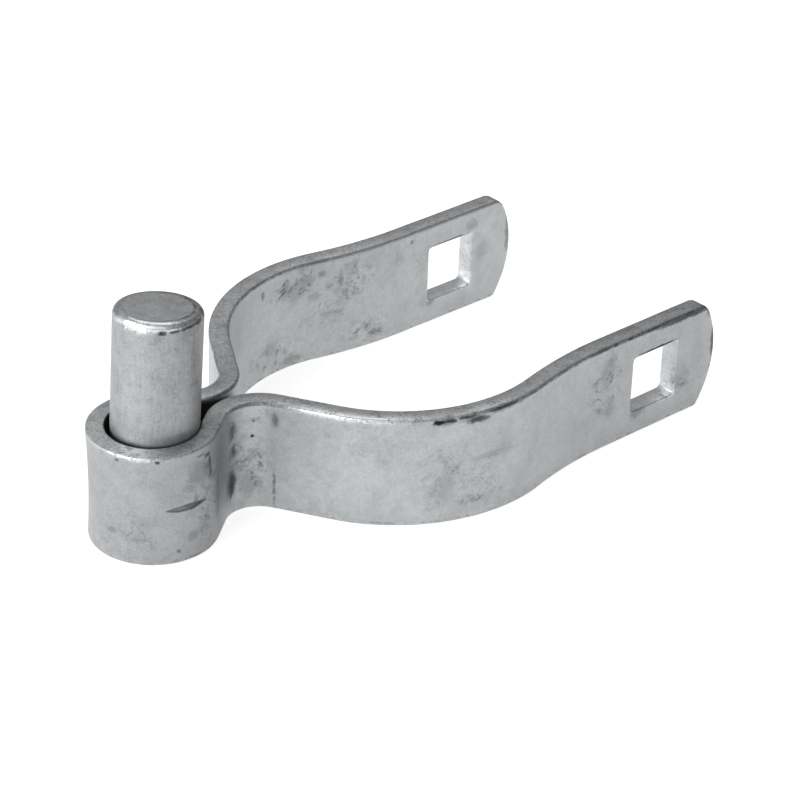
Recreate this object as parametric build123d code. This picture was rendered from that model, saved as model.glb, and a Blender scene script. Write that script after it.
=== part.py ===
from build123d import *
import math
import os

# Post hinge for a tubular fence post. A flat galvanised steel bar is folded at its middle into a closed
# eye round an upright steel pin. Behind the pin its two halves are pinched together into a neck, then
# they spread into two wings that cradle the post and end in tails with a square hole for a carriage bolt.
# Millimetres. The origin is on the eye's upright axis, level with its top, where a gate's eye comes to
# rest. +X points from the eye to the post and +Z is up. The pin leans a little about the middle of the eye.
# But for the stake mark, the bar is the same on both sides of the XZ plane.

# Flat bar
strap_width = 22.2
strap_thickness = 3.9
strap_edge_break = 0.55

# Pin, a cropped length of round bar that leans a little in its eye. Slopes and leans are in degrees, and
# a bearing is the direction they fall towards, from +X towards +Y.
pin_diameter = 15.9
pin_standout = 23.7
pin_lean = 2.5
pin_lean_bearing = -60.0
pin_end_radius = 1.4
pin_crop_slope = 6.2
pin_crop_bearing = 50.0
pin_foot_bevel = 1.0
pin_foot_recess = 0.8
pin_grip_depth = 0.05
pin_grip_height = 0.6

# Eye, the closed fold round the pin
eye_clearance = 0.05
eye_waist = 0.4
eye_waist_setback = 0.27
eye_waist_overrun = 0.15
stake_depth = 0.85
stake_mouth = 1.3
stake_bearing = -97.0

# Neck, where the two halves of the bar are pinched together. A run is a straight length of the bar.
eye_to_neck_run = 5.8
neck_bend_radius = 6.1
neck_gap = 1.6
neck_to_cradle_run = 11.1

# Wings, shaped to the post and pinched in behind it
post_diameter = 60.3
tail_pinch = 6.7
tail_bend_radius = 85.0

# Tails, cropped to a bowed end that is a little askew
bolt_hole_side = 11.8
bolt_hole_corner = 0.9
tail_bend_to_hole = 12.5
hole_to_tail_end = 16.6
tail_top_setback = 3.1
tail_bottom_setback = 4.0
tail_top_corner = 3.0
tail_bottom_corner = 1.5

# Worked out from the sizes above
pin_radius = pin_diameter / 2
bore_radius = pin_radius + eye_clearance
half_thickness = strap_thickness / 2
strap_bottom = -strap_width
strap_middle = -strap_width / 2


def polar(centre, radius, angle):
    """The point at this radius and angle, in degrees, from a centre in the plan."""
    turn = math.radians(angle)
    return centre + Vector(radius * math.cos(turn), radius * math.sin(turn))


def arc(centre, radius, start, end):
    """An arc of the plan from one angle to another, in degrees."""
    middle = (start + end) / 2
    ends = [polar(centre, radius, angle) for angle in (start, middle, end)]
    return ThreePointArc(*ends)


def next_bend(centre, radius, next_radius, run, height):
    """The centre of the next bend, which turns the other way at the far end of a straight run, and the
    angle of the point where the run leaves this bend. The next centre is at a given height in the plan."""
    rise = height - centre.Y
    span = math.hypot(radius + next_radius, run)
    next_centre = Vector(centre.X + math.sqrt(span**2 - rise**2), height)
    bearing = math.degrees(math.asin(rise / span))
    lead = math.degrees(math.atan2(run, radius + next_radius))
    return next_centre, bearing, lead


# The bar's middle line in plan, bend by bend: round the pin, out of the neck, round the post, into the tail.
# Each exit is the angle, round a bend's own centre, of the point where the bar leaves it.
eye_radius = bore_radius + half_thickness
neck_radius = neck_bend_radius + half_thickness
cradle_radius = post_diameter / 2 + half_thickness
tail_bend_middle = tail_bend_radius - half_thickness
tail_middle = cradle_radius - tail_pinch / 2
eye_centre = Vector(0, 0)
neck_height = neck_gap / 2 + half_thickness + neck_radius
neck_centre, bearing, lead = next_bend(eye_centre, eye_radius, neck_radius, eye_to_neck_run, neck_height)
eye_exit = bearing + lead
post_centre, bearing, lead = next_bend(neck_centre, neck_radius, cradle_radius, neck_to_cradle_run, 0)
neck_exit = bearing - lead
tail_bend_height = tail_middle + tail_bend_middle
tail_bend_centre, cradle_exit, lead = next_bend(
    post_centre, cradle_radius, tail_bend_middle, 0, tail_bend_height
)
bolt_hole_distance = tail_bend_centre.X + tail_bend_to_hole
tail_reach = bolt_hole_distance + hole_to_tail_end
blank_reach = tail_reach + strap_thickness


def wing_side(offset):
    """One side of the left wing in plan, from the eye to the uncropped tail, offset outwards."""
    eye_end = polar(eye_centre, eye_radius + offset, eye_exit)
    neck = arc(neck_centre, neck_radius - offset, eye_exit + 180, neck_exit + 360)
    cradle = arc(post_centre, cradle_radius + offset, neck_exit + 180, cradle_exit)
    tail_bend = arc(tail_bend_centre, tail_bend_middle - offset, cradle_exit + 180, 270)
    tail = Line(tail_bend @ 1, Vector(blank_reach, tail_middle + offset))
    return [Line(eye_end, neck @ 0), neck, Line(neck @ 1, cradle @ 0), cradle, tail_bend, tail]


def eye_side(offset):
    """One side of the eye in plan, round the far side of the pin from neck to neck."""
    return arc(eye_centre, eye_radius + offset, eye_exit, 360 - eye_exit)


def strap_plan():
    """The folded bar seen along the pin, with the same thickness all the way and its ends not yet cropped."""
    edges = []
    for offset in (half_thickness, -half_thickness):
        left = wing_side(offset)
        edges += left
        edges += [edge.mirror(Plane.XZ) for edge in left]
        edges.append(eye_side(offset))
    for side in (1, -1):
        outer = Vector(blank_reach, side * (tail_middle + half_thickness))
        inner = Vector(blank_reach, side * (tail_middle - half_thickness))
        edges.append(Line(outer, inner))
    return make_face(edges)


def tail_profile():
    """The bar seen from the side, with a bowed and rounded end, as an area to keep."""
    back_x = -2 * eye_radius
    with BuildSketch(Plane.XZ) as profile:
        with BuildLine():
            top = Line((back_x, 0), (tail_reach - tail_top_setback, 0))
            low_corner = (tail_reach - tail_bottom_setback, strap_bottom)
            bow = ThreePointArc(top @ 1, (tail_reach, strap_middle), low_corner)
            Polyline(bow @ 1, (back_x, strap_bottom), (back_x, 0))
        make_face()
        corners = profile.vertices().sort_by(Axis.X)[2:]
        top_corner, bottom_corner = corners.sort_by(Axis.Z, reverse=True)
        fillet(top_corner, tail_top_corner)
        fillet(bottom_corner, tail_bottom_corner)
    return profile.sketch


def eye_waist_cutter():
    """A ring with a crowned bore that takes the waist out of the eye. It is set back towards the neck, so
    the waist is deepest at the front of the eye and fades out where the bar leaves it."""
    deepest = eye_radius + half_thickness - eye_waist + eye_waist_setback
    widest = deepest + eye_waist + eye_waist_overrun
    rim = widest + strap_thickness
    with BuildSketch(Plane.XZ) as section:
        with BuildLine():
            crown = ThreePointArc((widest, strap_bottom), (deepest, strap_middle), (widest, 0))
            Polyline(crown @ 1, (rim, 0), (rim, strap_bottom), crown @ 0)
        make_face()
    ring = revolve(section.sketch, Axis.Z, 360 - 2 * eye_exit)
    return Pos(eye_waist_setback, 0, 0) * Rot(0, 0, eye_exit) * ring


def eye_bore_cutter():
    """Two cones, nose to nose, that open the eye's bore towards both of its ends so that the pin can lean."""
    half_width = strap_width / 2
    mouth = bore_radius + half_width * math.tan(math.radians(pin_lean))
    lower = Pos(0, 0, strap_bottom + half_width / 2) * Cone(mouth, bore_radius, half_width)
    upper = Pos(0, 0, -half_width / 2) * Cone(bore_radius, mouth, half_width)
    return lower + upper


def stake_cutter():
    """The wedge of a straight chisel, driven into the eye to hold it fast on the pin. It is as wide as the
    mouth of the mark at the eye's face, and twice that at its back."""
    face = eye_radius + half_thickness - eye_waist
    tip = face - stake_depth
    back = face + stake_depth
    with BuildSketch(Plane.XZ) as section:
        with BuildLine():
            Polyline((tip, 0), (back, stake_mouth), (back, -stake_mouth), (tip, 0))
        make_face()
    wedge = extrude(section.sketch, eye_radius, both=True)
    return Rot(0, 0, stake_bearing) * Pos(0, 0, strap_middle) * wedge


def runs_along_bar(edge):
    """Whether an edge follows the bar or its cropped end, and does not just cross its width or thickness."""
    if edge.geom_type != GeomType.LINE:
        return True
    return not math.isclose(edge.tangent_at(0).X, 0, abs_tol=1e-3)


def make_strap():
    """The flat bar, folded, with its eye, wings, square holes and bowed ends."""
    bar = extrude(strap_plan(), -strap_width)
    bar &= extrude(tail_profile(), post_diameter, both=True)
    bar = chamfer(bar.edges().filter_by(runs_along_bar), strap_edge_break)
    bar -= eye_waist_cutter()
    bar -= eye_bore_cutter()
    bar -= stake_cutter()
    hole = fillet(Rectangle(bolt_hole_side, bolt_hole_side).vertices(), bolt_hole_corner)
    hole = Plane.XZ * Pos(bolt_hole_distance, strap_middle) * hole
    bar -= extrude(hole, post_diameter, both=True)
    return bar


def lean(body):
    """Turn an upright body about the middle of the eye to the pin's own lean."""
    turn = Rot(0, 0, pin_lean_bearing) * Rot(0, pin_lean, 0) * Rot(0, 0, -pin_lean_bearing)
    return Pos(0, 0, strap_middle) * turn * Pos(0, 0, -strap_middle) * body


def make_pin():
    """The pin, gripped by the eye and bare above it, with a bevelled foot and a cropped, rounded top."""
    foot = strap_bottom + pin_foot_recess
    low = foot + pin_foot_bevel
    middle = (low + pin_grip_height) / 2
    blank_top = pin_standout + pin_diameter
    with BuildSketch(Plane.XZ) as section:
        with BuildLine():
            grip = ThreePointArc(
                (pin_radius, low), (pin_radius - pin_grip_depth, middle), (pin_radius, pin_grip_height)
            )
            Polyline(grip @ 1, (pin_radius, blank_top), (0, blank_top), (0, foot))
            Polyline((0, foot), (pin_radius - pin_foot_bevel, foot), grip @ 0)
        make_face()
    pin = revolve(section.sketch, Axis.Z)
    slope = Rot(0, 0, pin_crop_bearing) * Rot(0, pin_crop_slope, 0)
    waste = Box(2 * pin_diameter, 2 * pin_diameter, 2 * pin_diameter)
    pin -= Pos(0, 0, pin_standout) * slope * Pos(0, 0, pin_diameter) * waste
    rim = pin.edges().group_by(Axis.Z)[-1]
    return lean(fillet(rim, pin_end_radius))


os.makedirs("parts", exist_ok=True)
parts = {"strap": make_strap(), "hinge_pin": make_pin()}
for name, solid in parts.items():
    export_step(solid, f"parts/{name}.step")
    print(name, "volume", round(solid.volume, 1), "mm3")
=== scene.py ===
# %% [markdown]
# # A post hinge for a tubular fence post
# The hinge is two pieces of galvanised steel. A flat bar is folded at its middle round an upright pin and
# opens into two wings that clasp the post. The imported solids give every size and place, so the first cell
# loads them. The new pieces are made in the same frame: metres, the eye's axis at the origin, +X to the post.

# %% Load the solids
import math

import bmesh
import bpy
from mathutils import Matrix, Vector, noise


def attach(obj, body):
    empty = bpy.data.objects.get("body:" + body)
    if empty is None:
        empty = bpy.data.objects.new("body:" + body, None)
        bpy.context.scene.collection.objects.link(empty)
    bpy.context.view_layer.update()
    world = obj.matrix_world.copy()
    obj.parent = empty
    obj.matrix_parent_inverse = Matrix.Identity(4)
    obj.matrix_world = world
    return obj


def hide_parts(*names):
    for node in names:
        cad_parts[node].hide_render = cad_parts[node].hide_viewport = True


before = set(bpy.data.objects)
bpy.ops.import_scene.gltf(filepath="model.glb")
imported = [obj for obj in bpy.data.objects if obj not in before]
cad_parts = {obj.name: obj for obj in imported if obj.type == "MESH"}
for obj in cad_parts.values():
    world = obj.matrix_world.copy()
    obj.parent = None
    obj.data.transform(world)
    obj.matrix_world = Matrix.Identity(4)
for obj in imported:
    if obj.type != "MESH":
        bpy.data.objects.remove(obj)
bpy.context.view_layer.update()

# %% [markdown]
# ## Sizes
# A bender works from the bar's section, the bore of the eye and the radius of each bend. The same few numbers
# are kept here under plain names. They are written in millimetres and turned into metres once.

# %% Sizes of the bar, its bends and the pin
MM = 0.001
bar_width = 22.2 * MM
bar_thickness = 3.9 * MM
bar_edge = 0.6 * MM
bar_middle = -bar_width / 2

bore_radius = 8.0 * MM
eye_waist = 0.4 * MM
eye_waist_setback = 0.27 * MM
eye_exit = 52.686

neck_centre = Vector((15.524, 10.8, 0)) * MM
neck_exit = -30.481
eye_to_neck_run = 5.8 * MM
neck_to_cradle_run = 11.1 * MM
post_centre = Vector((55.756, 0, 0)) * MM
cradle_exit = 76.146
tail_bend_centre = Vector((83.329, 111.8, 0)) * MM

hole_distance = 95.83 * MM
hole_half = 5.9 * MM
hole_corner = 0.9 * MM
tail_reach = 112.43 * MM

pin_radius = 7.95 * MM
pin_top = 23.65 * MM
pin_foot = -21.35 * MM
pin_rim = 1.4 * MM
pin_lean = 2.5
pin_lean_bearing = -60
pin_crop_slope = 6.2
pin_crop_bearing = 50

weld = 0.001 * MM
print("outer radius of the eye, mm:", round((bore_radius + bar_thickness) / MM, 2))

# %% [markdown]
# ## Camera
# A long lens from some 60 cm keeps the hinge's upright lines nearly parallel. A camera's own axes are columns
# of its matrix: x to the right, y up, z backwards. Writing them out is the surest way to keep its slight roll.

# %% Camera
camera_data = bpy.data.cameras.new("camera")
camera = bpy.data.objects.new("camera", camera_data)
bpy.context.scene.collection.objects.link(camera)
bpy.context.scene.camera = camera
camera_data.sensor_width = 36
camera_data.lens = 127.435
camera_data.clip_start = 0.01
camera_turn, camera_rise, camera_roll = (math.radians(a) for a in (42.52, 30.22, 1.918))
camera_place = Vector((-256.129, -343.315, 254.668)) * MM
backwards = Vector((
    -math.sin(camera_turn) * math.cos(camera_rise),
    -math.cos(camera_turn) * math.cos(camera_rise),
    math.sin(camera_rise),
))
level_right = Vector((math.cos(camera_turn), -math.sin(camera_turn), 0))
level_up = backwards.cross(level_right)
right = level_right * math.cos(camera_roll) + level_up * math.sin(camera_roll)
up = level_up * math.cos(camera_roll) - level_right * math.sin(camera_roll)
place = Matrix((right, up, backwards)).transposed().to_4x4()
place.translation = camera_place
camera.matrix_world = place
print("camera at, mm:", [round(v / MM, 1) for v in place.translation])

# %% [markdown]
# ## Shader sums
# A finish is worked out from many small sums. Nodes wired by hand are hard to read, so one small class wraps a
# socket and lets Python's own + - * / add the Math nodes. Every other node comes from one method of a finish.

# %% A socket that can be added and multiplied


class Amount:
    """A number that varies over the surface."""

    def __init__(self, finish, socket):
        self.finish = finish
        self.socket = socket

    def sum(self, operation, *others):
        return self.finish.node("ShaderNodeMath", {"operation": operation}, dict(enumerate((self, *others))))

    def __add__(self, other):
        return self.sum("ADD", other)

    def __sub__(self, other):
        return self.sum("SUBTRACT", other)

    def __rsub__(self, other):
        return self.finish.node("ShaderNodeMath", {"operation": "SUBTRACT"}, {0: other, 1: self})

    def __mul__(self, other):
        return self.sum("MULTIPLY", other)

    def __truediv__(self, other):
        return self.sum("DIVIDE", other)

    def __abs__(self):
        return self.sum("ABSOLUTE")

    def most(self, other):
        return self.sum("MAXIMUM", other)

    def between(self, low, high):
        """0 below the low value, 1 above the high one, and smooth from one to the other."""
        settings = {"interpolation_type": "SMOOTHSTEP"}
        return self.finish.node("ShaderNodeMapRange", settings, {0: self, 1: low, 2: high, 3: 0.0, 4: 1.0})

    __radd__ = __add__
    __rmul__ = __mul__


# %% A finish, which is a material and its nodes


class Finish:
    """A material whose nodes are added one at a time."""

    def __init__(self, name):
        self.material = bpy.data.materials.new(name)
        self.material.use_nodes = True
        self.tree = self.material.node_tree
        self.tree.nodes.clear()
        self.output = self.tree.nodes.new("ShaderNodeOutputMaterial")

    def node(self, kind, settings=None, inputs=None, out=0):
        made = self.tree.nodes.new(kind)
        for key, value in (settings or {}).items():
            setattr(made, key, value)
        for key, value in (inputs or {}).items():
            socket = made.inputs[key]
            if isinstance(value, Amount):
                self.tree.links.new(value.socket, socket)
            else:
                socket.default_value = value
        return Amount(self, made.outputs[out])

    def place(self):
        """Where a point of the surface is in the piece's own frame, in millimetres."""
        own = self.node("ShaderNodeTexCoord", out="Object")
        return self.node("ShaderNodeVectorMath", {"operation": "SCALE"}, {0: own, "Scale": 1 / MM})

    def noise(self, place, size, detail=2, rough=0.5, shift=0.0, swirl=0.0):
        """Cloudy noise whose clouds are about this many millimetres across. A shift gives other clouds."""
        aside = (shift, -shift, shift / 2)
        moved = self.node("ShaderNodeVectorMath", {"operation": "ADD"}, {0: place, 1: aside})
        inputs = {"Vector": moved, "Scale": 1 / size, "Detail": detail, "Roughness": rough, "Distortion": swirl}
        return self.node("ShaderNodeTexNoise", {"noise_dimensions": "3D"}, inputs, "Fac")

    def colour(self, factor, low, high):
        """A colour between two colours. Either one can be a link from another mix."""
        settings = {"data_type": "RGBA", "clamp_factor": True}
        return self.node("ShaderNodeMix", settings, {0: factor, 6: low, 7: high}, 2)

    def smudge(self, place, centre, reach, ragged):
        """1 at a centre and 0 outside the reach along X, Y and Z, with a ragged edge."""
        away = self.node("ShaderNodeVectorMath", {"operation": "SUBTRACT"}, {0: place, 1: centre})
        away = self.node("ShaderNodeVectorMath", {"operation": "DIVIDE"}, {0: away, 1: reach})
        far = self.node("ShaderNodeVectorMath", {"operation": "LENGTH"}, {0: away}, "Value")
        return 1 - (far + ragged).between(0.35, 1.0)


print("helpers ready")

# %% [markdown]
# ## Room
# The hinge stands on its lower edges on a white table. Zinc is a dull mirror: what it shows is the room, so the
# table is white to the camera and to reflections, while the room above it stays grey and leaves the upward
# faces darker than the sides. A broad soft lamp on the left models the round forms. A picture of a studio could
# light it too, but three lamps are easier to balance and need no file.

# %% Floor
floor_reach = 6.0
floor_top = -bar_width - 0.02 * MM
table_glow = 0.72
floor_mesh = bpy.data.meshes.new("floor")
floor = bpy.data.objects.new("floor", floor_mesh)
bpy.context.scene.collection.objects.link(floor)
bm = bmesh.new()
bmesh.ops.create_grid(bm, x_segments=1, y_segments=1, size=floor_reach)
bmesh.ops.translate(bm, verts=bm.verts, vec=(0, 0, floor_top))
bm.to_mesh(floor_mesh)
bm.free()
table = Finish("table")
ray = table.node("ShaderNodeLightPath", out="Is Camera Ray")
mirrored = Amount(table, ray.socket.node.outputs["Is Glossy Ray"])
through = Amount(table, ray.socket.node.outputs["Is Transmission Ray"])
seen = ray.most(mirrored).most(through)
matt = table.node("ShaderNodeBsdfDiffuse", inputs={"Color": (0.80, 0.80, 0.80, 1)})
glow = table.node("ShaderNodeEmission", inputs={"Color": (1, 1, 1, 1), "Strength": seen * table_glow})
table_top = table.node("ShaderNodeAddShader", inputs={0: matt, 1: glow})
table.tree.links.new(table_top.socket, table.output.inputs["Surface"])
floor_mesh.materials.append(table.material)
print("floor at, mm:", round(floor_top / MM, 2))

# %% Lamps and the room's own light
hinge_middle = Vector((45, 0, 0)) * MM


def soft_lamp(name, bearing, rise, distance, size, power):
    """A square lamp, seen from the hinge at a bearing from +X towards +Y and a rise, that faces the hinge."""
    lamp_data = bpy.data.lights.new(name, "AREA")
    lamp_data.shape = "SQUARE"
    lamp_data.size = size
    lamp_data.energy = power
    lamp = bpy.data.objects.new(name, lamp_data)
    bpy.context.scene.collection.objects.link(lamp)
    turn, lift = math.radians(bearing), math.radians(rise)
    away = Vector((math.cos(turn) * math.cos(lift), math.sin(turn) * math.cos(lift), math.sin(lift)))
    lamp.location = hinge_middle + away * distance
    lamp.rotation_euler = away.to_track_quat("Z", "Y").to_euler()


soft_lamp("left_softbox", bearing=172, rise=24, distance=1.2, size=1.3, power=15.6)
soft_lamp("front_softbox", bearing=-125, rise=38, distance=1.4, size=0.9, power=1.8)
soft_lamp("top_softbox", bearing=50, rise=66, distance=1.3, size=1.0, power=3.1)
world = bpy.data.worlds.new("room")
bpy.context.scene.world = world
world.use_nodes = True
background = world.node_tree.nodes["Background"]
background.inputs["Color"].default_value = (1, 1, 1, 1)
background.inputs["Strength"].default_value = 0.225
bpy.context.scene.view_settings.view_transform = "Standard"

# %% [markdown]
# ## Folding the bar
# The real bar is bent cold round formers, one bend after another. The mesh can be made the same way: the bar's
# section is drawn once, and each bend is a spin of it round the former's centre, each straight a few
# extrusions. Only the left half is bent, and a mirror gives the other.

# %% The section of the bar, with its rolled corners


def ring_edges(result):
    """The open ring of edges at the end of what an extrusion or a spin has just made."""
    return [e for e in result if isinstance(e, bmesh.types.BMEdge) and e.is_boundary]


strap_bm = bmesh.new()
corner_steps = 5
cuts_across = 24
made = bmesh.ops.create_circle(strap_bm, cap_ends=False, segments=4 * corner_steps, radius=bar_edge)
half_step = Matrix.Rotation(math.pi / (4 * corner_steps), 3, "Z")
bmesh.ops.rotate(strap_bm, verts=strap_bm.verts, cent=(0, 0, 0), matrix=half_step)
bmesh.ops.rotate(strap_bm, verts=strap_bm.verts, cent=(0, 0, 0), matrix=Matrix.Rotation(math.pi / 2, 3, "X"))
flat_x = bar_thickness / 2 - bar_edge
flat_z = bar_width / 2 - bar_edge
for v in strap_bm.verts:
    v.co += Vector((math.copysign(flat_x, v.co.x), 0, math.copysign(flat_z, v.co.z)))
long_sides = [e for e in strap_bm.edges if e.calc_length() > flat_z]
bmesh.ops.subdivide_edges(strap_bm, edges=long_sides, cuts=cuts_across)
eye_middle = bore_radius + bar_thickness / 2
bmesh.ops.translate(strap_bm, verts=strap_bm.verts, vec=(-eye_middle, 0, bar_middle))
print("points round the section:", len(strap_bm.verts))

# %% Bend the left half, from the front of the eye to the end of the tail


def bend(ring, centre, angle, steps):
    """Spin the ring round an upright former, to the left for a positive angle in degrees."""
    spun = bmesh.ops.spin(
        strap_bm, geom=ring, cent=centre, axis=(0, 0, 1), angle=math.radians(angle), steps=steps
    )
    return ring_edges(spun["geom_last"])


def straight(ring, heading, length, steps):
    """Push the ring on in a straight line, at a heading in degrees from +X."""
    turn = math.radians(heading)
    step = Vector((math.cos(turn), math.sin(turn), 0)) * length / steps
    for _ in range(steps):
        made = bmesh.ops.extrude_edge_only(strap_bm, edges=ring)["geom"]
        bmesh.ops.translate(strap_bm, verts=[v for v in made if isinstance(v, bmesh.types.BMVert)], vec=step)
        ring = ring_edges(made)
    return ring


tail_start = tail_bend_centre.x
ring = list(strap_bm.edges)
ring = bend(ring, (0, 0, 0), eye_exit - 180, 56)
ring = straight(ring, eye_exit - 90, eye_to_neck_run, 7)
ring = bend(ring, neck_centre, 180 + neck_exit - eye_exit, 20)
ring = straight(ring, 90 + neck_exit, neck_to_cradle_run, 10)
ring = bend(ring, post_centre, cradle_exit - 180 - neck_exit, 40)
ring = bend(ring, tail_bend_centre, 90 - cradle_exit, 16)
end_ring = straight(ring, 0, tail_reach - tail_start, 28)
print("end of the tail, mm:", [round(v / MM, 2) for v in end_ring[0].verts[0].co])
print("faces in the left half:", len(strap_bm.faces))

# %% [markdown]
# ## Tail
# The bar is cropped with a worn tool, so its end is bowed and a little askew, with a rounder corner above than
# below. The end ring is moved to that curve, closed with a ladder of faces and its edges are bevelled. The
# square bolt hole is cut by slicing the flat faces along its sides, taking the middle out and bridging the two
# openings. A boolean would cut it too, but the slices keep the faces in a clean grid for the bevel round it.

# %% The bowed end
top_setback, bottom_setback = 3.1 * MM, 4.0 * MM
top_corner, bottom_corner = 3.0 * MM, 1.5 * MM


def circle_through(a, b, c):
    """The centre and radius of the circle through three points of the side view, as (x, z)."""
    matrix = Matrix(((2 * (b.x - a.x), 2 * (b.y - a.y)), (2 * (c.x - b.x), 2 * (c.y - b.y))))
    centre = matrix.inverted() @ Vector((b.dot(b) - a.dot(a), c.dot(c) - b.dot(b)))
    return centre, (a - centre).length


bow, bow_radius = circle_through(
    Vector((tail_reach - top_setback, 0)),
    Vector((tail_reach, bar_middle)),
    Vector((tail_reach - bottom_setback, -bar_width)),
)


def corner_in_bow(radius, z):
    """The middle of a rounded corner that touches the bow, and the height where the two meet."""
    middle = Vector((bow.x + math.sqrt((bow_radius - radius) ** 2 - (z - bow.y) ** 2), z))
    return middle, bow.y + (z - bow.y) * bow_radius / (bow_radius - radius)


top_middle, top_meets = corner_in_bow(top_corner, -top_corner)
bottom_middle, bottom_meets = corner_in_bow(bottom_corner, bottom_corner - bar_width)


def end_at(z):
    """Where the cropped end lies at a height."""
    middle, radius = bow, bow_radius
    if z > top_meets:
        middle, radius = top_middle, top_corner
    if z < bottom_meets:
        middle, radius = bottom_middle, bottom_corner
    return middle.x + math.sqrt(max(radius**2 - (z - middle.y) ** 2, 0))


bow_start = hole_distance + hole_half + 1.0 * MM
for v in strap_bm.verts:
    if v.co.x > bow_start:
        share = (v.co.x - bow_start) / (tail_reach - bow_start)
        v.co.x += share * (end_at(v.co.z) - tail_reach)

end_points = {v for e in end_ring for v in e.verts}
tail_middle = sum(v.co.y for v in end_points) / len(end_points)
outer_side = [e for e in end_ring if all(v.co.y > tail_middle for v in e.verts)]
inner_side = [e for e in end_ring if all(v.co.y < tail_middle for v in e.verts)]
cap = bmesh.ops.bridge_loops(strap_bm, edges=outer_side + inner_side)["faces"]
soft_end = 0.45 * MM
true_corner = math.radians(35)
rim = [e for e in end_ring if e.calc_face_angle(0) > true_corner]
bmesh.ops.bevel(
    strap_bm, geom=rim, offset=soft_end, offset_type="OFFSET", segments=3, profile=0.5, affect="EDGES",
    material=-1
)
print("tail middle, mm:", round(tail_middle / MM, 2), "cap faces:", len(cap), "rim edges:", len(rim))

# %% The square bolt hole
hole_rim = 0.22 * MM
hole_cuts = [hole_half, hole_half - hole_corner / 2, hole_half - hole_corner]
for reach in hole_cuts:
    for side in (1, -1):
        for centre, normal in ((hole_distance, (1, 0, 0)), (bar_middle, (0, 0, 1))):
            point = Vector(normal) * (centre + side * reach)
            faces = [f for f in strap_bm.faces if tail_start + 2 * MM < f.calc_center_median().x < bow_start]
            edges = {e for f in faces for e in f.edges}
            verts = {v for f in faces for v in f.verts}
            bmesh.ops.bisect_plane(
                strap_bm, geom=faces + list(edges) + list(verts), dist=weld / 10, plane_co=point, plane_no=normal
            )


def in_hole(point, slack=0.0):
    """Whether a point is inside the square hole, seen from the side."""
    return abs(point.x - hole_distance) < hole_half + slack and abs(point.z - bar_middle) < hole_half + slack


punched = [f for f in strap_bm.faces if in_hole(f.calc_center_median()) and f.calc_center_median().y > 0]
bmesh.ops.delete(strap_bm, geom=punched, context="FACES")
brink = [e for e in strap_bm.edges if e.is_boundary and in_hole((e.verts[0].co + e.verts[1].co) / 2, weld)]
print("faces punched out:", len(punched), "edges round both openings:", len(brink))
inner_square = hole_half - hole_corner
for v in {v for e in brink for v in e.verts}:
    across = Vector((v.co.x - hole_distance, 0, v.co.z - bar_middle))
    core = Vector((
        max(-inner_square, min(inner_square, across.x)), 0, max(-inner_square, min(inner_square, across.z))
    ))
    away = across - core
    if away.x and away.z:
        v.co += core + away.normalized() * hole_corner - across
bmesh.ops.bridge_loops(strap_bm, edges=brink)
brink = [e for e in brink if e.is_valid]
bmesh.ops.bevel(
    strap_bm, geom=brink, offset=hole_rim, offset_type="OFFSET", segments=2, profile=0.5, affect="EDGES",
    material=-1
)
print("faces with the hole:", len(strap_bm.faces))

# %% [markdown]
# ## The other half
# A mirror doubles the bent half across the middle plane. It turns the copy inside out, so the doubled points
# at the front of the eye are welded first and then all faces are turned outwards again.

# %% Mirror and weld
everything = list(strap_bm.verts) + list(strap_bm.edges) + list(strap_bm.faces)
bmesh.ops.mirror(strap_bm, geom=everything, matrix=Matrix.Identity(4), merge_dist=weld, axis="Y")
bmesh.ops.remove_doubles(strap_bm, verts=strap_bm.verts, dist=weld)
bmesh.ops.recalc_face_normals(strap_bm, faces=strap_bm.faces)
open_edges = [e for e in strap_bm.edges if not e.is_manifold]
print("open edges:", len(open_edges), "volume, mm3:", round(strap_bm.calc_volume() / MM**3))

# %% [markdown]
# ## Eye
# A flat bar bent on edge round a small former draws in across its width, which gives the eye its waist. Its
# bore opens towards both ends, where the leaning pin has worked it. Both are gentle changes of radius, so they
# are moves of points that are there already. The stake mark is a small chisel cut, so the mesh is made finer
# there first.

# %% The waist and the bore
slope_of_bore = math.tan(math.radians(pin_lean))
eye_outside = bore_radius + bar_thickness
for v in strap_bm.verts:
    radius = math.hypot(v.co.x, v.co.y)
    bearing = math.atan2(v.co.y, v.co.x)
    height = v.co.z - bar_middle
    target = radius
    if radius < eye_middle:
        target = max(radius, bore_radius + abs(height) * slope_of_bore)
    elif radius < eye_outside + weld and abs(bearing) > math.radians(eye_exit):
        ring_radius = eye_outside - eye_waist + eye_waist_setback
        drawn_in = eye_waist_setback * math.cos(bearing) + ring_radius - eye_outside
        target = radius + min(drawn_in, 0) * (1 - (2 * height / bar_width) ** 2)
    v.co.xy *= target / radius
print("least radius outside, mm:", round((eye_outside - eye_waist) / MM, 2))

# %% The stake mark
stake_turn = math.radians(-97)
stake_depth = 0.85 * MM
stake_half_mouth = 0.65 * MM
stake_slope = stake_depth / stake_half_mouth
stake_reach, stake_rise = 5.4 * MM, 1.5 * MM
stake_out = Vector((math.cos(stake_turn), math.sin(stake_turn), 0))
stake_along = Vector((-math.sin(stake_turn), math.cos(stake_turn), 0))
stake_face = eye_outside - 0.17 * MM


def near_stake(point, height):
    """Whether a point is on the outside of the eye and within reach of the mark."""
    close = abs(point.dot(stake_along)) < stake_reach and abs(point.z - bar_middle) < height
    return close and point.dot(stake_out) > eye_middle - 0.5 * MM


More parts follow.
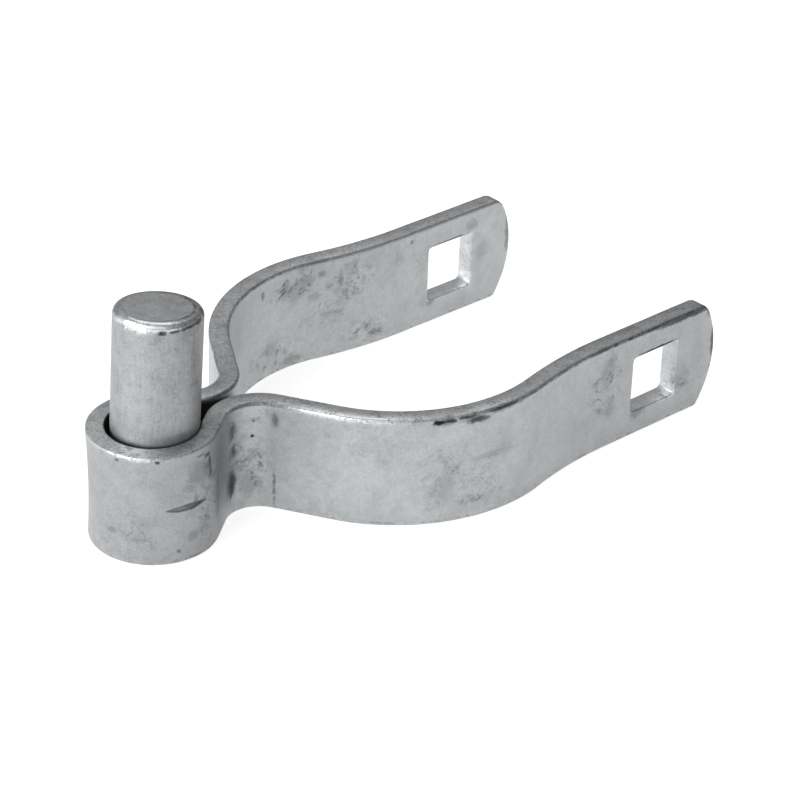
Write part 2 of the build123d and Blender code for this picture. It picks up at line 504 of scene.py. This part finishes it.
patch = [f for f in strap_bm.faces if near_stake(f.calc_center_median(), stake_rise)]
patch_edges = list({e for f in patch for e in f.edges})
bmesh.ops.subdivide_edges(strap_bm, edges=patch_edges, cuts=5, use_grid_fill=True)
pushed = 0
for v in strap_bm.verts:
    if near_stake(v.co, stake_rise + 0.1 * MM):
        below_face = v.co.dot(stake_out) - (stake_face - stake_depth)
        cut = below_face - abs(v.co.z - bar_middle) * stake_slope
        if cut > 0:
            v.co -= stake_out * cut
            pushed += 1
print("points pushed in:", pushed)

# %% [markdown]
# ## Uneven zinc
# Hot zinc drains and sets in slow waves a few hundredths of a millimetre deep, and the bar under it is never
# quite flat. A bump map can't show that on an outline, so the points themselves are moved, always inwards, by a
# smooth noise. Each point also stores how sharply the surface turns there, for worn edges and the painted
# highlights on them.

# %% Slow waves, then a stored measure of edges


def uneven(bm, depth, size):
    """Sink the surface by a smooth noise of a given depth, with waves of a given size."""
    bm.normal_update()
    for v in bm.verts:
        wave = 0.5 + 0.5 * noise.noise(v.co / size) + 0.25 * noise.noise(v.co / size * 2.7)
        v.co -= v.normal * depth * max(0.0, min(1.0, wave))


def store_edges(bm, full_turn):
    """A layer that is 0 on the flat and 1 where an outward edge turns this much, in radians, or more."""
    layer = bm.verts.layers.float.new("edge")
    bm.normal_update()
    for v in bm.verts:
        turns = [e.calc_face_angle_signed(0) for e in v.link_edges]
        v[layer] = max(0.0, min(1.0, max(turns) / full_turn))
    for _ in range(2):
        spread = {v: sum(e.other_vert(v)[layer] for e in v.link_edges) / len(v.link_edges) for v in bm.verts}
        for v, value in spread.items():
            v[layer] = 0.5 * v[layer] + 0.5 * value


def make_piece(bm, name):
    """Turn a finished bmesh into an object, smooth but for its true corners."""
    mesh = bpy.data.meshes.new(name)
    bm.to_mesh(mesh)
    bm.free()
    mesh.shade_smooth()
    mesh.set_sharp_from_angle(angle=math.radians(48))
    piece = bpy.data.objects.new(name, mesh)
    bpy.context.scene.collection.objects.link(piece)
    print(name, "faces:", len(mesh.polygons))
    return piece


uneven(strap_bm, depth=0.05 * MM, size=6.0 * MM)
store_edges(strap_bm, full_turn=0.30)
strap = make_piece(strap_bm, "folded_strap")

# %% [markdown]
# ## Pin
# The pin is a cropped length of round bar, so it is turned: half its outline is drawn in the XZ plane and spun
# a full turn round its axis. The rolled rim is itself the spin of one point. Then the top is sloped, as a shear
# leaves it, and the whole pin leans as it stands in its eye.

# %% Turn the pin
pin_bm = bmesh.new()


def on_from(vert, x, z):
    """Carry the outline on to a new point."""
    point = pin_bm.verts.new((x, 0, z))
    pin_bm.edges.new((vert, point))
    return point


foot_bevel = 1.0 * MM
grip_depth = 0.05 * MM
grip_height = 0.6 * MM
dish_depth = 0.10 * MM
first = pin_bm.verts.new((0, 0, pin_foot))
foot = on_from(first, pin_radius - foot_bevel, pin_foot)
low = on_from(foot, pin_radius, pin_foot + foot_bevel)
grip = on_from(low, pin_radius - grip_depth, bar_middle)
wall = on_from(grip, pin_radius, grip_height)
on_from(wall, pin_radius, pin_top - pin_rim)
upright = [e for e in pin_bm.edges if e.calc_length() > 9 * MM and e.verts[0] is not first]
bmesh.ops.subdivide_edges(pin_bm, edges=upright, cuts=14)
shoulder = max(pin_bm.verts, key=lambda v: v.co.z)
rim_centre = (pin_radius - pin_rim, 0, pin_top - pin_rim)
rolled = bmesh.ops.spin(
    pin_bm, geom=[shoulder], cent=rim_centre, axis=(0, 1, 0), angle=math.radians(-90), steps=9
)
lip = [v for v in rolled["geom_last"] if isinstance(v, bmesh.types.BMVert)][0]
lip = on_from(lip, pin_radius - pin_rim - 0.5 * MM, pin_top - 0.03 * MM)
dish = on_from(lip, pin_radius - pin_rim - 1.0 * MM, pin_top - 0.13 * MM)
dish = on_from(dish, 3.0 * MM, pin_top - 0.12 * MM)
on_from(dish, 0, pin_top - dish_depth)
outline = list(pin_bm.verts) + list(pin_bm.edges)
print("rim ends at, mm:", [round(v / MM, 2) for v in lip.co])
bmesh.ops.spin(
    pin_bm, geom=outline, cent=(0, 0, 0), axis=(0, 0, 1), angle=2 * math.pi, steps=96, use_merge=True
)
bmesh.ops.remove_doubles(pin_bm, verts=pin_bm.verts, dist=weld)
bmesh.ops.recalc_face_normals(pin_bm, faces=pin_bm.faces)
print("open edges:", sum(not e.is_manifold for e in pin_bm.edges))

# %% Slope its top, and lean it
crop_fall = math.tan(math.radians(pin_crop_slope))
crop_turn = math.radians(pin_crop_bearing)
slope_start = 12 * MM
for v in pin_bm.verts:
    share = max(0.0, min(1.0, (v.co.z - slope_start) / (pin_top - pin_rim - slope_start)))
    towards = v.co.x * math.cos(crop_turn) + v.co.y * math.sin(crop_turn)
    v.co.z -= share * crop_fall * towards
uneven(pin_bm, depth=0.03 * MM, size=5.0 * MM)
store_edges(pin_bm, full_turn=0.19)
turn = math.radians(pin_lean_bearing)
lean_axis = Vector((-math.sin(turn), math.cos(turn), 0))
lean = Matrix.Rotation(math.radians(pin_lean), 3, lean_axis)
bmesh.ops.rotate(pin_bm, verts=pin_bm.verts, cent=(0, 0, bar_middle), matrix=lean)
pin = make_piece(pin_bm, "leaning_pin")

# %% [markdown]
# ## Galvanised steel
# Old hot-dip zinc is a dull grey metal, not a paint, so the shader is nearly all metal and fairly rough. Slow
# clouds and a finer mottle shade it, and a grain as fine as sand breaks up its shine. Where rain water dried it
# left blotches and thin tide lines, dirt sits below edges and in corners, and edges that rub are bright. Painted
# shade darkens the gaps where the pin stands in the eye and where the two halves close in, painted highlights
# brighten worn edges where the lamps glint on them, and bands of painted light and shade lighten and darken
# parts of each piece. All of it could be painted as a picture, but sums of noise stay sharp close up and fit any
# surface. Marks that sit in one place are lists of a centre, a reach along X, Y and Z in mm, and a strength.

# %% Marks that sit in one place


def marks(finish, place, ragged, places):
    """The strongest of many marks at each point, each with the same ragged edge."""
    strongest = finish.smudge(place, places[0][0], places[0][1], ragged) * places[0][2]
    for centre, reach, strength in places[1:]:
        strongest = strongest.most(finish.smudge(place, centre, reach, ragged) * strength)
    return strongest


# %% Stains that rain water leaves


def water_stains(finish, place, zone, shift):
    """Soft blots, broken tide lines and specks. The zone is where the water stood, from 0 to 1."""
    slow = finish.noise(place, 4.4, 3, 0.55, shift + 21, 1.0)
    patchy = finish.noise(place, 3.4, 3, 0.55, shift + 25).between(0.42, 0.60)
    lines = (1 - abs(slow - 0.5).between(0.006, 0.045)) * patchy
    blots = finish.noise(place, 2.6, 3, 0.55, shift + 29, 0.8).between(0.48, 0.66)
    cores = finish.noise(place, 1.2, 3, 0.60, shift + 33).between(0.52, 0.68) * blots
    specks = finish.noise(place, 0.75, 1, 0.5, shift + 31).between(0.64, 0.76)
    away = finish.noise(place, 15, 2, 0.5, shift + 37).between(0.48, 0.66) * 0.40 + 0.06
    wet = zone.most(away)
    return (lines * 0.31 + blots * 0.20 + cores * 0.28).most(specks * 0.38) * wet


# %% The zinc finish
zinc_grey = (0.440, 0.452, 0.460)
# The dark colour of dirt, and of the painted shade in gaps.
dirt_and_shade_colour = (0.036, 0.037, 0.039, 1)
darkest_shade, lightest_shade = 0.4, 1.9


def zinc(name, tone, grains, crevice, dirty, smudged, stained, polished_and_highlit, drawn, shift):
    """Weathered zinc. Tone, grains and crevice are functions that give a piece's shade, with painted light and
    shade in it, its grit, and its grime with painted shade in its gaps. The next four are lists of marks, the
    last of them also for painted highlights. Drawn is how much upright drawing lines show, and a shift gives
    other noise."""
    finish = Finish(name)
    place = finish.place()
    clouds = finish.noise(place, 8, 4, 0.55, shift, 0.5)
    mottle = finish.noise(place, 2.0, 4, 0.62, shift + 7, 0.3)
    grain = finish.noise(place, 0.42, 2, 0.6, shift + 13)
    upright = finish.node("ShaderNodeVectorMath", {"operation": "MULTIPLY"}, {0: place, 1: (1, 1, 0.06)})
    streaks = finish.noise(upright, 0.55, 2, 0.6, shift + 17)
    edge = finish.node("ShaderNodeAttribute", {"attribute_name": "edge"}, out="Fac")

    fray = finish.noise(place, 1.1, 5, 0.72, shift + 41)
    ragged = (fray - 0.5) * 1.7 + (mottle - 0.5) * 0.6
    dirt_and_shade = marks(finish, place, ragged, dirty) * (0.45 + fray * 0.85)
    # The crevice function adds painted shade in the gaps to the dirt, and both take the same dark colour.
    dirt_and_shade = dirt_and_shade.most(crevice(finish, place, mottle, fray))
    stain = water_stains(finish, place, marks(finish, place, (mottle - 0.5) * 1.2, stained), shift)
    washed = marks(finish, place, (fray - 0.5) * 1.5 + (mottle - 0.5) * 0.7, smudged)
    stain = stain.most(washed * (0.35 + fray * 1.1))
    worn = edge * (mottle * 0.6 + grain * 0.4).between(0.38, 0.52)
    # Worn edges are bright, and at the listed places they are painted brighter still as highlights.
    wear_and_highlight = worn * (marks(finish, place, ragged, polished_and_highlit) * 0.85 + 0.15)

    sandy = grains(finish, place)
    light = 1 + (clouds - 0.5) * 0.42 + (mottle - 0.5) * 0.44 + (grain - 0.5) * sandy + (streaks - 0.5) * drawn
    # Wear and painted highlights add to the light of the base colour here.
    light = light * tone(finish, place) * (1 - stain * 0.75) + wear_and_highlight * 0.85
    darkest, lightest = (tuple(shade * c for c in zinc_grey) + (1,) for shade in (darkest_shade, lightest_shade))
    base = finish.colour((light - darkest_shade) / (lightest_shade - darkest_shade), darkest, lightest)
    base = finish.colour(dirt_and_shade, base, dirt_and_shade_colour)
    rough = 0.52 + (mottle - 0.5) * 0.25 + dirt_and_shade * 0.25 + stain * 0.10 - wear_and_highlight * 0.24
    lumps = finish.noise(place, 1.3, 3, 0.55, shift + 57)
    relief = lumps * 0.7 + grain * 0.30 - dirt_and_shade * 0.6 - stain * 0.15
    bump = finish.node("ShaderNodeBump", inputs={"Strength": 1.0, "Distance": 0.06 * MM, "Height": relief})
    inputs = {"Base Color": base, "Metallic": 0.88, "Roughness": rough, "Normal": bump}
    steel = finish.node("ShaderNodeBsdfPrincipled", inputs=inputs)
    finish.tree.links.new(steel.socket, finish.output.inputs["Surface"])
    return finish.material


# %% Marks on the strap
strap_dirt = [
    ((40.4, -30.6, -0.85), (1.7, 1.4, 0.75), 1.25),
    ((42.3, -31.3, -0.75), (2.2, 1.5, 0.60), 0.95),
    ((45.4, -32.3, -0.55), (4.4, 2.0, 0.50), 0.90),
    ((47.4, -33.0, -1.5), (2.8, 1.3, 1.0), 0.85),
    ((52.6, -33.9, -0.5), (6.0, 1.2, 0.46), 1.00),
    ((100.0, -30.6, -0.45), (17.0, 1.0, 0.50), 0.75),
    ((104.5, -30.6, -0.80), (11.0, 1.0, 0.80), 0.85),
    ((111.6, 26.8, -7.0), (0.9, 1.2, 7.0), 0.45),
    ((110.4, -30.6, -1.4), (1.2, 1.0, 1.6), 0.55),
    ((111.7, -30.4, -8.0), (0.7, 0.9, 7.5), 0.75),
    ((96.6, -30.7, -4.85), (6.8, 0.9, 0.36), 1.00),
    ((96.0, 26.8, -4.9), (6.2, 0.9, 0.34), 0.60),
    ((14.0, -4.9, -4.8), (1.0, 1.6, 2.8), 0.45),
    ((14.4, -4.8, -8.8), (1.0, 1.5, 1.6), 0.55),
    ((13.8, -5.0, -15.6), (1.3, 1.8, 3.6), 0.80),
    ((18.2, -5.3, -6.9), (0.45, 0.8, 0.45), 1.00),
    ((18.4, -5.4, -3.8), (0.40, 0.8, 0.40), 0.60),
    ((21.1, -7.6, -16.5), (0.26, 1.2, 6.0), 0.60),
    ((21.2, -8.0, -3.4), (0.50, 1.2, 1.6), 0.40),
    ((17.3, -5.6, -0.55), (4.2, 1.8, 0.35), 0.60),
    ((-11.1, -4.4, -1.2), (0.55, 0.7, 0.45), 0.75),
    ((-6.5, -9.9, -0.9), (0.6, 0.6, 0.40), 0.95),
    ((1.8, -11.7, -1.6), (1.5, 1.0, 0.40), 0.50),
    ((3.2, -11.4, -2.2), (1.0, 1.0, 0.60), 0.70),
    ((4.0, -11.2, -3.9), (0.45, 0.9, 1.6), 0.85),
    ((4.2, -11.1, -6.0), (0.42, 0.9, 1.7), 0.70),
    ((-0.9, -11.0, -10.8), (4.4, 1.2, 0.7), 0.35),
    ((-3.2, -11.5, -19.6), (0.5, 0.6, 0.5), 0.60),
]
strap_smudges = [
    ((48.9, 29.4, -3.5), (0.8, 0.9, 1.3), 0.62),
    ((60.2, 29.7, -4.0), (2.6, 1.4, 2.0), 0.36),
    ((57.6, 30.0, -5.6), (4.6, 1.6, 3.4), 0.24),
    ((63.6, 29.2, -3.2), (1.2, 1.0, 0.9), 0.52),
    ((61.9, 29.4, -7.8), (2.4, 1.4, 1.5), 0.32),
    ((67.8, 27.6, -5.4), (1.1, 1.4, 2.8), 0.55),
    ((69.6, 27.0, -3.8), (2.0, 1.4, 0.9), 0.50),
    ((68.6, 27.4, -8.3), (2.0, 1.4, 1.4), 0.52),
    ((65.0, 28.6, -12.4), (4.0, 1.6, 0.8), 0.30),
    ((75.8, 26.9, -19.4), (2.8, 1.2, 1.2), 0.60),
    ((56.5, 30.1, -20.4), (3.6, 1.0, 1.2), 0.38),
    ((51.5, 29.8, -16.0), (3.0, 1.6, 2.8), 0.25),
    ((85.1, 26.8, -2.1), (0.7, 0.8, 0.7), 0.60),
    ((90.6, 26.8, -17.6), (1.8, 0.9, 1.0), 0.45),
    ((101.5, 26.8, -3.4), (2.4, 1.0, 1.7), 0.32),
    ((104.5, 26.8, -10.0), (2.6, 1.0, 3.0), 0.20),
    ((50.0, -33.7, -9.6), (9.0, 2.0, 1.0), 0.26),
    ((41.4, -31.0, -0.9), (3.4, 1.9, 1.25), 0.62),
    ((46.4, -32.8, -1.0), (5.4, 1.8, 1.15), 0.56),
    ((53.0, -33.9, -0.7), (7.0, 1.2, 0.85), 0.48),
    ((41.6, -31.0, -15.0), (3.0, 2.4, 5.0), 0.22),
    ((82.6, -30.6, -6.0), (2.2, 1.0, 4.0), 0.26),
    ((84.0, -30.7, -13.5), (1.8, 1.0, 4.0), 0.30),
    ((91.6, -30.7, -17.4), (2.6, 1.0, 1.6), 0.50),
    ((104.0, -30.7, -14.5), (2.4, 1.0, 3.5), 0.26),
    ((13.8, -5.1, -5.0), (1.7, 1.8, 3.6), 0.55),
    ((14.0, -5.0, -9.2), (1.8, 1.6, 2.4), 0.55),
    ((13.6, -5.1, -15.6), (2.4, 2.0, 4.8), 0.60),
    ((17.2, -5.3, -16.5), (3.4, 1.6, 4.2), 0.38),
    ((16.0, -5.2, -12.9), (2.9, 1.6, 0.9), 0.42),
    ((21.2, -8.0, -3.4), (0.9, 1.6, 2.2), 0.35),
    ((1.0, -11.5, -5.2), (3.4, 1.8, 3.4), 0.34),
    ((-0.8, -11.5, -7.2), (2.2, 1.0, 1.2), 0.34),
    ((6.8, -9.4, -12.0), (1.5, 2.2, 9.5), 0.44),
    ((-0.2, -11.6, -17.3), (1.5, 1.0, 1.5), 0.36),
    ((-11.3, -2.8, -16.2), (1.0, 1.8, 0.9), 0.40),
]
strap_stains = [
    ((57.5, 30.0, -4.6), (9.0, 4.0, 4.6), 1.8),
    ((70.0, 28.0, -6.4), (7.5, 4.0, 5.6), 1.8),
    ((52.0, 30.1, -17.4), (9.0, 4.0, 4.0), 1.6),
    ((74.5, 27.6, -18.6), (8.0, 3.5, 3.6), 1.5),
    ((64.0, 29.0, -12.0), (8.0, 4.0, 4.5), 1.0),
    ((40.9, -30.7, -12.0), (6.0, 4.0, 9.0), 1.0),
    ((48.0, -33.6, -15.5), (8.0, 3.5, 6.0), 1.2),
    ((82.5, -30.5, -8.5), (5.0, 2.5, 9.5), 1.7),
    ((101.5, -30.5, -15.0), (6.0, 2.5, 5.0), 1.0),
    ((17.0, -5.5, -13.0), (5.5, 4.0, 9.0), 1.7),
    ((18.5, -5.5, -3.5), (4.0, 4.0, 3.5), 1.3),
    ((3.5, -11.0, -10.0), (6.5, 5.0, 11.0), 1.5),
    ((-9.0, -7.0, -16.0), (5.0, 5.0, 5.0), 0.9),
]
# Places where worn edges are also painted bright as highlights.
strap_wear_and_highlights = [
    ((30.0, -18.0, 0), (15.0, 15.0, 1.4), 1.1),
    ((-8.0, -7.0, 0), (6.0, 6.5, 1.4), 1.0),
    ((50.0, -33.0, 0), (8.0, 3.0, 1.2), 0.5),
    ((100.0, -30.0, -17.0), (4.0, 4.0, 3.0), 0.8),
    ((100.0, 28.0, -16.0), (4.0, 4.0, 3.0), 0.8),
]


def coordinates(finish, place):
    """The x, y and z of a place, in millimetres."""
    return [finish.node("ShaderNodeSeparateXYZ", inputs={0: place}, out=axis) for axis in "XYZ"]


def in_plan(finish, place, x=0.0, y=0.0):
    """The offset of a place from an upright line, with its height left out, and how long that offset is."""
    away = finish.node("ShaderNodeVectorMath", {"operation": "SUBTRACT"}, {0: place, 1: (x, y, 0)})
    flat = finish.node("ShaderNodeVectorMath", {"operation": "MULTIPLY"}, {0: away, 1: (1, 1, 0)})
    return flat, finish.node("ShaderNodeVectorMath", {"operation": "LENGTH"}, {0: flat}, "Value")


# Each shade comes in along one axis, from one place to another in mm, and changes the tone by its last number.
# The first four are painted shade and light: darker across the eye towards the post, lighter again past the
# neck, a little darker towards the tails and a little lighter on the far half. The last darkens the bar
# towards its bottom edge.
strap_shades = [
    ("X", -9, 8, -0.18),
    ("X", 8, 13, 0.35),
    ("X", 58, 86, -0.06),
    ("Y", 5, 15, 0.14),
    ("Z", -22.2, -18.8, 0.07),
]


def strap_tone_and_painted_light(finish, place):
    """The zinc is painted darker round the eye, most on its side towards the post, as painted shade. Painted
    light brightens the eye's top, most at its front, the inside of the stake mark and the walls of the punched
    holes, and the top of the tail is a little darker."""
    x, y, z = coordinates(finish, place)
    shade = 0.79
    # The bands lay painted shade and light along the bar, and the last one darkens its bottom edge.
    for axis, start, end, change in strap_shades:
        shade = {"X": x, "Y": y, "Z": z}[axis].between(start, end) * change + shade
    off_middle = abs(z - bar_middle / MM)
    off_hole = abs(x - hole_distance / MM).most(off_middle)
    upper_edge = z.between(-0.6, -0.15)
    # Painted light on the top face of the eye, strongest at its front.
    painted_light_on_eye_top = (1 - x.between(-3, 7) * 0.55 - x.between(12, 18) * 0.45) * upper_edge
    # The top face of the tail is a little darker.
    darker_tail_top = x.between(70, 90) * upper_edge
    # Painted light inside the stake mark, to lift its shade.
    painted_light_in_stake_mark = (1 - in_plan(finish, place)[1].between(11.2, 11.45)) * (1 - off_middle.between(1.0, 1.6))
    # Painted light on the walls of the punched holes.
    return shade + painted_light_on_eye_top * 0.36 - darker_tail_top * 0.09 + painted_light_in_stake_mark * 0.45 + (1 - off_hole.between(5.7, 6.1)) * 0.72


def strap_grains(finish, place):
    """The upper and lower edges of the bar were never rolled as smooth as its faces; the grain is raised on the
    upper ones.
    """
    return 0.42 + coordinates(finish, place)[2].between(-0.6, -0.15) * 0.75


def strap_shade_and_grime(finish, place, mottle, fray):
    """Painted shade in the bore and in the seam between the two halves, where the parts close in, a fine line of
    grime under the upper corners, and specks above the lower ones."""
    flat, radius = in_plan(finish, place)
    # Painted shade in the bore, round the pin.
    bore = 1 - radius.between(8.45, 8.8)
    x, y, z = coordinates(finish, place)
    # Painted shade in the seam between the two halves, below their top.
    seam = finish.smudge(flat, (12.5, 0, 0), (9.5, 3.6, 1.0), 0.0) * (1 - z.between(-1.4, -0.3))
    line = 1 - abs(z + 0.42 + (fray - 0.5) * 0.5).between(0.14, 0.42)
    outside = 1 - y.between(-30.2, -29.2)
    near_tail = outside * (x.between(43, 50) * 0.55 + x.between(74, 86) * 0.25)
    long_line = near_tail + x.between(12, 15) * (1 - x.between(21, 24)) * 0.55 + y.between(8, 11) * (0.50 - x.between(62, 76) * 0.26)
    patchy = 0.42 + mottle.between(0.44, 0.55) * 0.58
    specks = 1 - abs(z + 21.5 + (fray - 0.5) * 0.6).between(0.10, 0.45)
    specks = specks * mottle.between(0.50, 0.62) * abs(y).between(8, 12) * 0.30
    return (bore.most(seam) * 0.92).most(line * long_line * patchy).most(specks)


strap.data.materials.append(
    zinc(
        "strap_zinc", strap_tone_and_painted_light, strap_grains, strap_shade_and_grime, strap_dirt, strap_smudges, strap_stains,
        strap_wear_and_highlights, drawn=0.0, shift=0
    )
)
print("nodes in the strap's finish:", len(strap.data.materials[0].node_tree.nodes))

# %% Marks on the pin
pin_dirt = [
    ((-3.5, -8.0, 22.6), (1.1, 1.0, 0.65), 1.00),
    ((-1.4, -8.7, 22.7), (1.8, 0.9, 0.42), 0.90),
    ((1.3, -9.0, 22.75), (2.4, 1.0, 0.46), 0.90),
    ((3.9, -8.4, 22.7), (2.2, 1.4, 0.55), 0.80),
    ((6.4, -6.6, 22.8), (1.8, 2.0, 0.80), 0.70),
    ((-6.3, 2.6, 23.9), (1.0, 1.4, 0.60), 0.80),
]
pin_smudges = [
    ((1.5, -8.8, 21.6), (5.0, 2.0, 1.6), 0.22),
    ((5.5, -5.9, 10.0), (2.4, 2.4, 9.0), 0.16),
    ((-1.5, -7.6, 1.2), (6.0, 3.0, 1.2), 0.25),
]
pin_stains = [
    ((0.5, -8.4, 12.0), (5.0, 4.0, 9.0), 0.5),
    ((-6.0, -4.5, 6.0), (3.0, 3.0, 4.0), 0.3),
]
pin_crop_middle = (0.76, -1.31)
# Places on the rim where worn edges are also painted bright as highlights.
pin_wear_and_highlights = [
    ((-6.0, -4.5, 23.7), (4.6, 5.2, 2.2), 1.25),
    ((-2.0, -7.6, 23.7), (4.8, 3.4, 1.6), 1.15),
    ((4.5, -6.8, 23.4), (3.4, 3.0, 1.0), 0.5),
]


def from_crop(finish, place):
    """How far a place is, in the plan, from the middle of the leaning pin's cropped top."""
    return in_plan(finish, place, *pin_crop_middle)[1]


def pin_tone_and_painted_light(finish, place):
    """The pin's zinc is a shade duller than the strap's, and painted shade darkens it more towards the post, but
    not on its top. Its rim is painted bright on the side away from the post, which faces the left lamp, partly
    as worn zinc and partly as a painted highlight."""
    x, y, z = coordinates(finish, place)
    crop = (1 - from_crop(finish, place).between(6.2, 6.9)) * z.between(20, 21)
    patchy = finish.noise(place, 1.6, 3, 0.6, 77)
    # Painted highlight on the rim where it faces the left lamp, mixed with worn zinc.
    worn_and_highlit = (z + (patchy - 0.5) * 2.0).between(22.3, 22.9) * (1 - (x * 0.95 + y * 0.3).between(-7.5, 1.0))
    worn_and_highlit = worn_and_highlit * patchy.between(0.36, 0.54) * (1 - crop)
    # Painted shade: the pin is darker towards the post.
    return 0.83 - x.between(-8, 8) * 0.18 + crop * 0.50 + worn_and_highlit * 0.42


def pin_grains(finish, place):
    """The pin is as gritty all over, and a little more so at its top."""
    return 0.5 + coordinates(finish, place)[2].between(22, 23) * 0.2


def pin_painted_shade(finish, place, mottle, fray):
    """Painted shade on the pin below the eye's top, which shows in the gap at its foot, and a dark ring of
    painted shade in the crease round its cropped top, strongest towards the camera's right.
    """
    x, y, z = coordinates(finish, place)
    # Painted shade in the crease where the dished top meets the rolled rim.
    ring = 1 - abs(from_crop(finish, place) - 6.25 + (fray - 0.5) * 0.8).between(0.12, 0.55)
    # The ring's painted shade is strongest towards the camera's right, away from the left lamp.
    towards_camera_right = (x * 0.75 - y * 0.66).between(-4, 6) * 0.70 + 0.30
    ring = ring * z.between(22.3, 22.8) * (0.34 + mottle.between(0.42, 0.58) * 0.36) * towards_camera_right
    # Painted shade on the pin below the eye's top, where it stands in the eye.
    return ((1 - z.between(-0.5, 0.45)) * 0.95).most(ring)


pin.data.materials.append(
    zinc(
        "pin_zinc", pin_tone_and_painted_light, pin_grains, pin_painted_shade, pin_dirt, pin_smudges, pin_stains, pin_wear_and_highlights,
        drawn=0.36, shift=90
    )
)
print("nodes in the pin's finish:", len(pin.data.materials[0].node_tree.nodes))

# %% [markdown]
# ## Hand over
# Each new piece stands for its solid and rides with the hinge's one body.

# %% Tie the pieces to their solids
for piece, node, slot in ((strap, "strap", "strap_zinc"), (pin, "hinge_pin", "pin_zinc")):
    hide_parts(node)
    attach(piece, "root")
